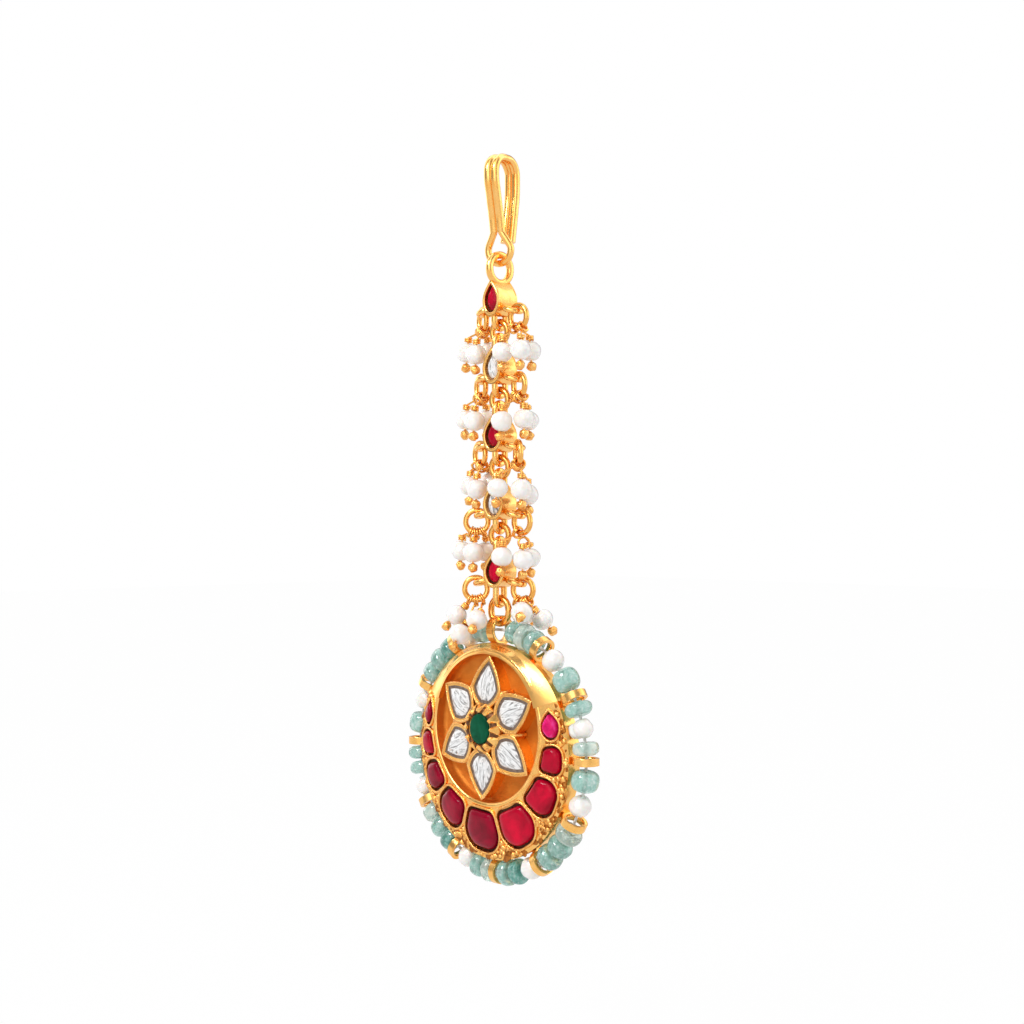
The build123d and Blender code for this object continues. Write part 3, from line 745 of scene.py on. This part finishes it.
def crescent_height(x, y):
    """How far the sloping front stands out at a place between the rim and the inner ring."""
    low_t, high_t = 0.0, 1.0
    for _ in range(HALVINGS):
        t = (low_t + high_t) / 2
        inside = math.hypot(x, y - t * RING_OFFSET) < RIM_RADIUS + t * (RING_OUTER - RIM_RADIUS)
        low_t, high_t = (t, high_t) if inside else (low_t, t)
    return RIM_FRONT + low_t * (RING_FRONT - RIM_FRONT)


def dish():
    """The satin floor of the dish with its upright wall."""
    profile = [(0, 0.93), (4, 0.94), (8.2, 0.96), (9.9, 1.02), (10.35, 1.2), (10.53, 1.6), (10.56, 2.66),
               (10.63, 2.6), (10.63, 0.86), (0, 0.86)]
    bm = bmesh.new()
    spin_profile(bm, profile, 120, closed=False)
    bmesh.ops.remove_doubles(bm, verts=bm.verts, dist=1e-7)
    bmesh.ops.transform(bm, matrix=DISH_PLACE, verts=bm.verts)
    finish(bm, "dish_lining", DISH, PENDANT, sharp=50)


def upper_band():
    """The polished, gently crowned band that closes the crescent above the stones."""
    across, along = 10, 90
    bm = bmesh.new()
    sections = []
    for step in range(along):
        u = BAND_HALF * (2 * step / (along - 1) - 1)
        outer = Vector((math.sin(u), math.cos(u))) * (RIM_RADIUS + 0.05 * MM)
        inner_way = (outer - Vector((0, RING_OFFSET))).normalized()
        inner = Vector((0, RING_OFFSET)) + inner_way * (DISH_RADIUS - 0.05 * MM)
        section = []
        for k in range(across):
            v = k / (across - 1)
            crown = math.sin(math.pi * v) ** 0.7
            height = (RING_FRONT + 0.26 * MM) * (1 - v) + RIM_FRONT * v + crown * 0.2 * MM
            section.append((*inner.lerp(outer, v), height))
        for x, y, height in (section[-1], section[0]):
            section.append((x, y, height - 0.9 * MM))
        sections.append([FRONT @ Vector(place) for place in section])
    loft_rows(bm, sections)
    finish(bm, "upper_band", BAND, PENDANT, sharp=38)


def under_front(corner):
    """The place below the sloping front, at a corner's own x and y, where a red stone's bed ends."""
    spot = FRONT.inverted() @ corner
    return FRONT @ Vector((spot.x, spot.y, crescent_height(spot.x, spot.y) - 0.3 * MM))


def ruby_settings():
    """Domed red stones on dark beds of painted shade, with rounded gold walls between them."""
    # Stones 2, 3, 4 and 8 take the lighter copy, painted light; the rest the darker copy, painted shade;
    # stone 1 is pink.
    materials = {1: PINK, 2: LIT_RUBY, 3: LIT_RUBY, 4: LIT_RUBY, 8: LIT_RUBY}
    paths, bed = [], bmesh.new()
    for number in RUBIES:
        node = f"ruby_{number}"
        shape = outline(islands(node)[0], FRONT)
        wall = even(moved_outline(shape, CELL_WALL * MM), count=60)
        crest = [Vector((p.x, p.y, crescent_height(p.x, p.y) + 0.12 * MM)) for p in wall]
        paths.append(([FRONT @ place for place in crest], True))
        floor = even(moved_outline(shape, CELL_BED * MM), count=48)
        raise_block(bed, [FRONT @ Vector((p.x, p.y, 0.6 * MM)) for p in floor], under_front)
        reach = SMALL_RUBY if number in SMALL_CELLS else LARGE_RUBY
        gem = bmesh.new()
        cabochon(gem, even(moved_outline(shape, reach * MM), count=40), seed=number)
        finish(gem, f"red_stone_{number}", materials.get(number, SHADED_RUBY), PENDANT, (node,), sharp=30)
    wires("cell_walls", paths, CELL_WIRE * MM, CAST, PENDANT)
    # The cell beds are painted shade in the gaps round the red stones.
    finish(bed, "cell_beds", SHADE_BED, PENDANT, sharp=40)


def cabochon(bm, shape, seed):
    """A domed stone with a broad flat on top, over the sloping crescent."""
    centre = sum(shape, Vector((0, 0))) / len(shape)
    pick = random.Random(seed)
    lean = Vector((pick.uniform(-0.05, 0.05), pick.uniform(-0.05, 0.05)))
    rings = [[FRONT @ Vector((p.x, p.y, 0.9 * MM)) for p in shape]]
    for scale, rise in ((1.0, -0.15), (0.985, 0.12), (0.93, 0.34), (0.84, 0.5), (0.7, 0.62), (0.5, 0.68)):
        ring = []
        for p in shape:
            off = (p - centre) * scale
            spot = centre + off
            height = crescent_height(spot.x, spot.y) + rise * MM + off.dot(lean)
            ring.append(FRONT @ Vector((spot.x, spot.y, height)))
        rings.append(ring)
    loft_rows(bm, rings)


def petals():
    """Clear foil-backed stones in bezels of rounded gold, joined where neighbours meet."""
    paths, crests, bed = [], [], bmesh.new()
    for number in PETALS:
        node = f"petal_stone_{number}"
        points = islands(node)[0]
        heart = box_middle(points)
        place = basis(heart, facing(node, FORWARD), heart - HEART)
        shape = outline(points, place)
        top = max((place.inverted() @ p).z for p in points)
        crest = top + 0.04 * MM
        wall = even(moved_outline(shape, BEZEL * MM), count=72)
        paths.append(([place @ Vector((p.x, p.y, crest)) for p in wall], True))
        crests.append(place @ Vector((0, 0, crest)))
        floor = even(moved_outline(shape, PETAL_BED * MM), count=48)
        rise = place.to_3x3() @ Vector((0, 0, 2 * top + 0.02 * MM))
        raise_block(bed, [place @ Vector((p.x, p.y, -top)) for p in floor], lambda spot: spot + rise)
        facets = even(moved_outline(shape, PETAL_GEM * MM), count=18)
        gem = bmesh.new()
        faceted(gem, facets, place, base=0, girdle=1.02 * top, top=1.6 * top, table=0.42, seed=number,
                jitter=0.09, steps=(0.35, 0.7))
        piece = finish(gem, f"clear_petal_{number}", CLEAR, PENDANT, (node,), sharp=8)
        grain_map(piece, place @ Matrix.Rotation(math.pi / 2, 4, "Z"))
    wires("petal_joints", petal_joints(crests), JOINT_WIRE * MM, CAST, PENDANT)
    wires("petal_bezels", paths, BEZEL_WIRE * MM, CAST, PENDANT)
    # The petal beds are painted shade in the gaps round the clear stones.
    finish(bed, "petal_beds", GAP_SHADE, PENDANT, sharp=40)


def petal_joints(crests):
    """A ridge between each two petals, which runs out from the claws and then down to the dish's floor."""
    paths = []
    for one, other in zip(crests, crests[1:] + crests[:1]):
        between = DISH_PLACE.inverted() @ ((one + other) / 2)
        way = between.xy.normalized()
        crest = between.z - 0.1 * MM
        ridge = [(4.6, crest), (5.4, crest), (6.3, between.z - 0.12 * MM), (6.45, 1 * MM)]
        path = [Vector((way.x * reach * MM, way.y * reach * MM, z)) for reach, z in ridge]
        paths.append(([DISH_PLACE @ place for place in path], False))
    return paths


def claws():
    """Wedge-shaped claws that lean in over the green stone, on a darker collar of painted shade between them.
    """
    bm, collar = bmesh.new(), bmesh.new()
    corners = [(-0.74, 3.72, 2.4), (0.74, 3.72, 2.4), (-0.72, 3.6, 3.3), (0.72, 3.6, 3.3), (-0.5, 2.9, 3.95),
               (0.5, 2.9, 3.95), (0, 2.66, 4.65), (-0.26, 2.34, 4.25), (0.26, 2.34, 4.25), (-0.4, 2.36, 3.4),
               (0.4, 2.36, 3.4)]
    for k in range(CLAWS):
        angle = FULL_TURN * (k + 0.12 * noise.noise(Vector((k, 3, 1)))) / CLAWS
        place = DISH_PLACE @ Matrix.Rotation(angle, 4, "Z")
        size = 1.02 + 0.12 * noise.noise(Vector((k, 7, 2)))
        verts = [bm.verts.new(place @ Vector((x * size * MM, y * MM, z * MM))) for x, y, z in corners]
        hull = bmesh.ops.convex_hull(bm, input=verts)
        bmesh.ops.delete(bm, geom=hull["geom_interior"] + hull["geom_unused"], context="VERTS")
    bmesh.ops.bevel(bm, geom=bm.edges[:], offset=0.05 * MM, segments=2, affect="EDGES")
    profile = [(4.7, 1.6), (4.5, 2.55), (3.75, 2.75), (3.3, 3.0), (2.9, 3.92), (2.8, 3.97), (2.25, 3.97),
               (2.25, 3.6), (3.2, 1.6)]
    spin_profile(collar, profile, 72)
    bmesh.ops.remove_doubles(collar, verts=collar.verts, dist=1e-7)
    bmesh.ops.transform(collar, matrix=DISH_PLACE, verts=collar.verts)
    finish(bm, "claws", POLISHED, PENDANT, sharp=30)
    finish(collar, "claw_shade_collar", CLAW_SHADE, PENDANT, sharp=50)


def green_stone():
    """The flat-topped green stone, its edge gently rounded."""
    place = basis(HEART, FORWARD)
    shape = even(outline(islands("centre_stone")[0], place), count=48)
    top = (gem_high.y - gem_low.y) / 2
    rows = ((1.0, -1.0), (1.0, 0.45), (0.985, 0.75), (0.95, 0.95), (0.9, 1.06), (0.8, 1.14), (0.5, 1.2))
    bm = bmesh.new()
    loft_rows(bm, [[place @ Vector((p.x * scale, p.y * scale, top * height)) for p in shape]
                   for scale, height in rows])
    finish(bm, "green_gem", GREEN, PENDANT, ("centre_stone",), sharp=30)


def rim_bands():
    """Rounded bands over the twelve loops that carry the bead string; the top one is larger."""
    bm = bmesh.new()
    for k in range(LOOPS):
        outer, width = (2.1, 1.3) if k == 0 else (1.85, 1.0)
        inner = outer - 0.5
        half = width / 2 + 0.03
        corners = [(inner - 0.02, -half + 0.16), (inner + 0.14, -half), (outer - 0.12, -half),
                   (outer - 0.01, -half + 0.2), (outer, 0), (outer - 0.01, half - 0.2),
                   (outer - 0.12, half), (inner + 0.14, half), (inner - 0.02, half - 0.16)]
        spin_profile(bm, corners, 40)
        fresh = [v for v in bm.verts if not v.tag]
        turn = Matrix.Rotation(-FULL_TURN * k / LOOPS, 4, "Z")
        place = FRONT @ turn @ Matrix.Translation((0, LOOP_RADIUS, 0)) @ Matrix.Rotation(math.pi / 2, 4, "Y")
        bmesh.ops.transform(bm, matrix=place, verts=fresh)
        for vert in fresh:
            vert.tag = True
    bmesh.ops.remove_doubles(bm, verts=bm.verts, dist=1e-7)
    finish(bm, "rim_bands", POLISHED, PENDANT, sharp=50)


def on_string(points):
    """A bead's middle, the way out from the disc there and the way along the string."""
    centre = box_middle(points)
    radial = (centre - DISC).normalized()
    return centre, radial, radial.cross(ACROSS).normalized()


def rim_rondelles(run):
    """The aqua rondelles between two loops, each a little different."""
    node = f"aqua_beads_{run:02d}"
    bm = bmesh.new()
    for number, points in enumerate(islands(node)):
        centre, _, along = on_string(points)
        half = max(abs((p - centre).dot(along)) for p in points)
        wide = max(abs((p - centre).dot(ACROSS)) for p in points)
        seed = run * 3 + number
        rondelle(bm, centre, along, half * 0.99, wide, seed=seed, tint=TINTS[seed % len(TINTS)])
    finish(bm, f"aqua_rondelles_{run:02d}", [AQUA, TEAL, STRAW], PENDANT, (node,), turned=False)


def rim_pearls():
    """The pearls of the rim; the one furthest to the right is baroque, with a second lobe."""
    bm = bmesh.new()
    strung = islands("rim_pearls")
    baroque = max(range(len(strung)), key=lambda k: strung[k][0].x)
    for number, points in enumerate(strung):
        centre, radial, along = on_string(points)
        size = RIM_PEARL
        if number == baroque:
            size = BAROQUE_PEARL
            lump(bm, centre - radial * LOBE_CENTRE * MM, BAROQUE_LOBE * MM, number, rough=0.15, detail=1.4)
        lump(bm, centre, size * MM, number + 60, rough=0.08, detail=1.2, axis=along, dimple=0.1,
             squash=(along, 0.97))
    finish(bm, "rim_pearl_beads", PEARL, PENDANT, ("rim_pearls",), turned=False)


def granules():
    """Cast grains over flat, darker hollows of painted shade, between the red stones and the rim."""
    pick = random.Random(5)
    grains, hollows = bmesh.new(), bmesh.new()
    stones = [outline(islands(f"ruby_{n}")[0], FRONT) for n in RUBIES]
    walls = [moved_outline(shape, GRAIN_FREE * MM) for shape in stones]
    out = FRONT.to_3x3() @ Vector((0, 0, 1))
    for k in range(GRAIN_TRIES):
        angle = math.radians(pick.uniform(*GRAIN_ANGLES))
        reach = pick.uniform(*GRAIN_RADII) * MM
        spot = Vector((math.sin(angle), math.cos(angle))) * reach
        size = pick.uniform(*GRAIN_SIZES) * MM
        from_ring = (spot - Vector((0, RING_OFFSET))).length
        if any(within(spot, wall) for wall in walls) or from_ring < RING_OUTER + size:
            continue
        height = crescent_height(spot.x, spot.y)
        if k % 2:
            lump(hollows, FRONT @ Vector((spot.x, spot.y, height)), size, k, rough=0.5, detail=1.5, levels=2,
                 squash=(out, 0.12))
        else:
            lump(grains, FRONT @ Vector((spot.x, spot.y, height - 0.15 * size)), 0.8 * size, k, rough=0.4,
                 detail=1.6, levels=2)
    finish(grains, "border_grains", CAST, PENDANT, turned=False)
    finish(hollows, "border_hollows", HOLLOW_SHADE, PENDANT, turned=False)


dish()
upper_band()
ruby_settings()
petals()
claws()
green_stone()
rim_bands()
for run in BEAD_RUNS:
    rim_rondelles(run)
rim_pearls()
granules()
nodes["pendant_frame"].material_slots[0].material = POLISHED
nodes["rim_thread"].material_slots[0].material = THREAD

# ---------------------------------------------------------------- floor and light
FLOOR_SIZE = 1.5                     # metres from its middle to each side
FLOOR_DROP = 25 * MM                 # below the lowest bead
FLOOR_GLOW = 0.985                   # how near to white the floor looks
REFLECTED_WAVES = 3.0                # light bands seen round the horizon in polished metal
LAMPS = (                            # name, turn, rise, metres away, metres wide, watts
    ("key", -50, 40, 0.45, 0.14, 1.1),
    ("fill", 60, 20, 0.45, 0.3, 0.35),
    ("top", 170, 60, 0.5, 0.35, 0.5),
)


def pale(name, strength):
    """White to the camera and in reflections, and a plain pale surface to the light."""
    made, tree, shader = blank(name)
    fill(tree, shader, Roughness=0.9, Base_Color=(0.85, 0.85, 0.85, 1))
    rays = add(tree, "ShaderNodeLightPath").outputs
    seen = maths(tree, "MAXIMUM", rays["Is Camera Ray"], rays["Is Glossy Ray"])
    share = maths(tree, "MULTIPLY", maths(tree, "MAXIMUM", seen, rays["Is Transmission Ray"]), strength)
    glow = add(tree, "ShaderNodeEmission", Color=WHITE, Strength=1.0)
    surface = mixed_shaders(tree, share, shader.outputs[0], glow.outputs[0])
    put(tree, surface, tree.nodes["Material Output"].inputs["Surface"])
    return made


def white_light(tree, strength):
    """White light from all round."""
    return add(tree, "ShaderNodeBackground", Color=WHITE, Strength=strength).outputs[0]


def studio_world():
    """White to the camera; in reflections, white with softly darker bands, as between softboxes."""
    world = bpy.data.worlds.new("studio")
    world.use_nodes = True
    scene.world = world
    tree = world.node_tree
    tree.nodes.clear()
    rays = add(tree, "ShaderNodeLightPath").outputs
    way = add(tree, "ShaderNodeTexCoord").outputs["Generated"]
    split = add(tree, "ShaderNodeSeparateXYZ", Vector=way).outputs
    around = maths(tree, "ARCTAN2", split["X"], split["Y"])
    wave = maths(tree, "SINE", maths(tree, "MULTIPLY", around, REFLECTED_WAVES))
    soft = spread(tree, wave, From_Min=-1.0, From_Max=0.2, To_Min=0.36, To_Max=0.95)
    box = spread(tree, wave, From_Min=0.5, From_Max=0.85, To_Min=0.0, To_Max=1.4)
    mirrored = white_light(tree, maths(tree, "ADD", soft, box))
    lighting = mixed_shaders(tree, rays["Is Glossy Ray"], white_light(tree, 0.5), mirrored)
    seen = maths(tree, "MAXIMUM", rays["Is Camera Ray"], rays["Is Transmission Ray"])
    put(tree, mixed_shaders(tree, seen, lighting, white_light(tree, 1.0)),
        add(tree, "ShaderNodeOutputWorld").inputs["Surface"])


def lamp(name, turn, rise, distance, size, power):
    """A soft square lamp that faces the object, turned from the camera's side and raised, in degrees."""
    data = bpy.data.lights.new(name, "AREA")
    data.size, data.energy = size, power
    made = bpy.data.objects.new(name, data)
    heading = HEADING + math.radians(turn)
    up = math.radians(rise)
    way = Vector((math.sin(heading) * math.cos(up), -math.cos(heading) * math.cos(up), math.sin(up)))
    made.location = aim + way * distance
    made.rotation_euler = way.to_track_quat("Z", "Y").to_euler()
    scene.collection.objects.link(made)


floor_mesh = bmesh.new()
bmesh.ops.create_grid(floor_mesh, x_segments=1, y_segments=1, size=FLOOR_SIZE)
bmesh.ops.translate(floor_mesh, verts=floor_mesh.verts, vec=(0, 0, cad_box[0].z - FLOOR_DROP))
floor_data = bpy.data.meshes.new("floor")
floor_mesh.to_mesh(floor_data)
floor_mesh.free()
floor = bpy.data.objects.new("floor", floor_data)
floor.data.materials.append(pale("pale_floor", FLOOR_GLOW))
scene.collection.objects.link(floor)

studio_world()
for values in LAMPS:
    lamp(*values)
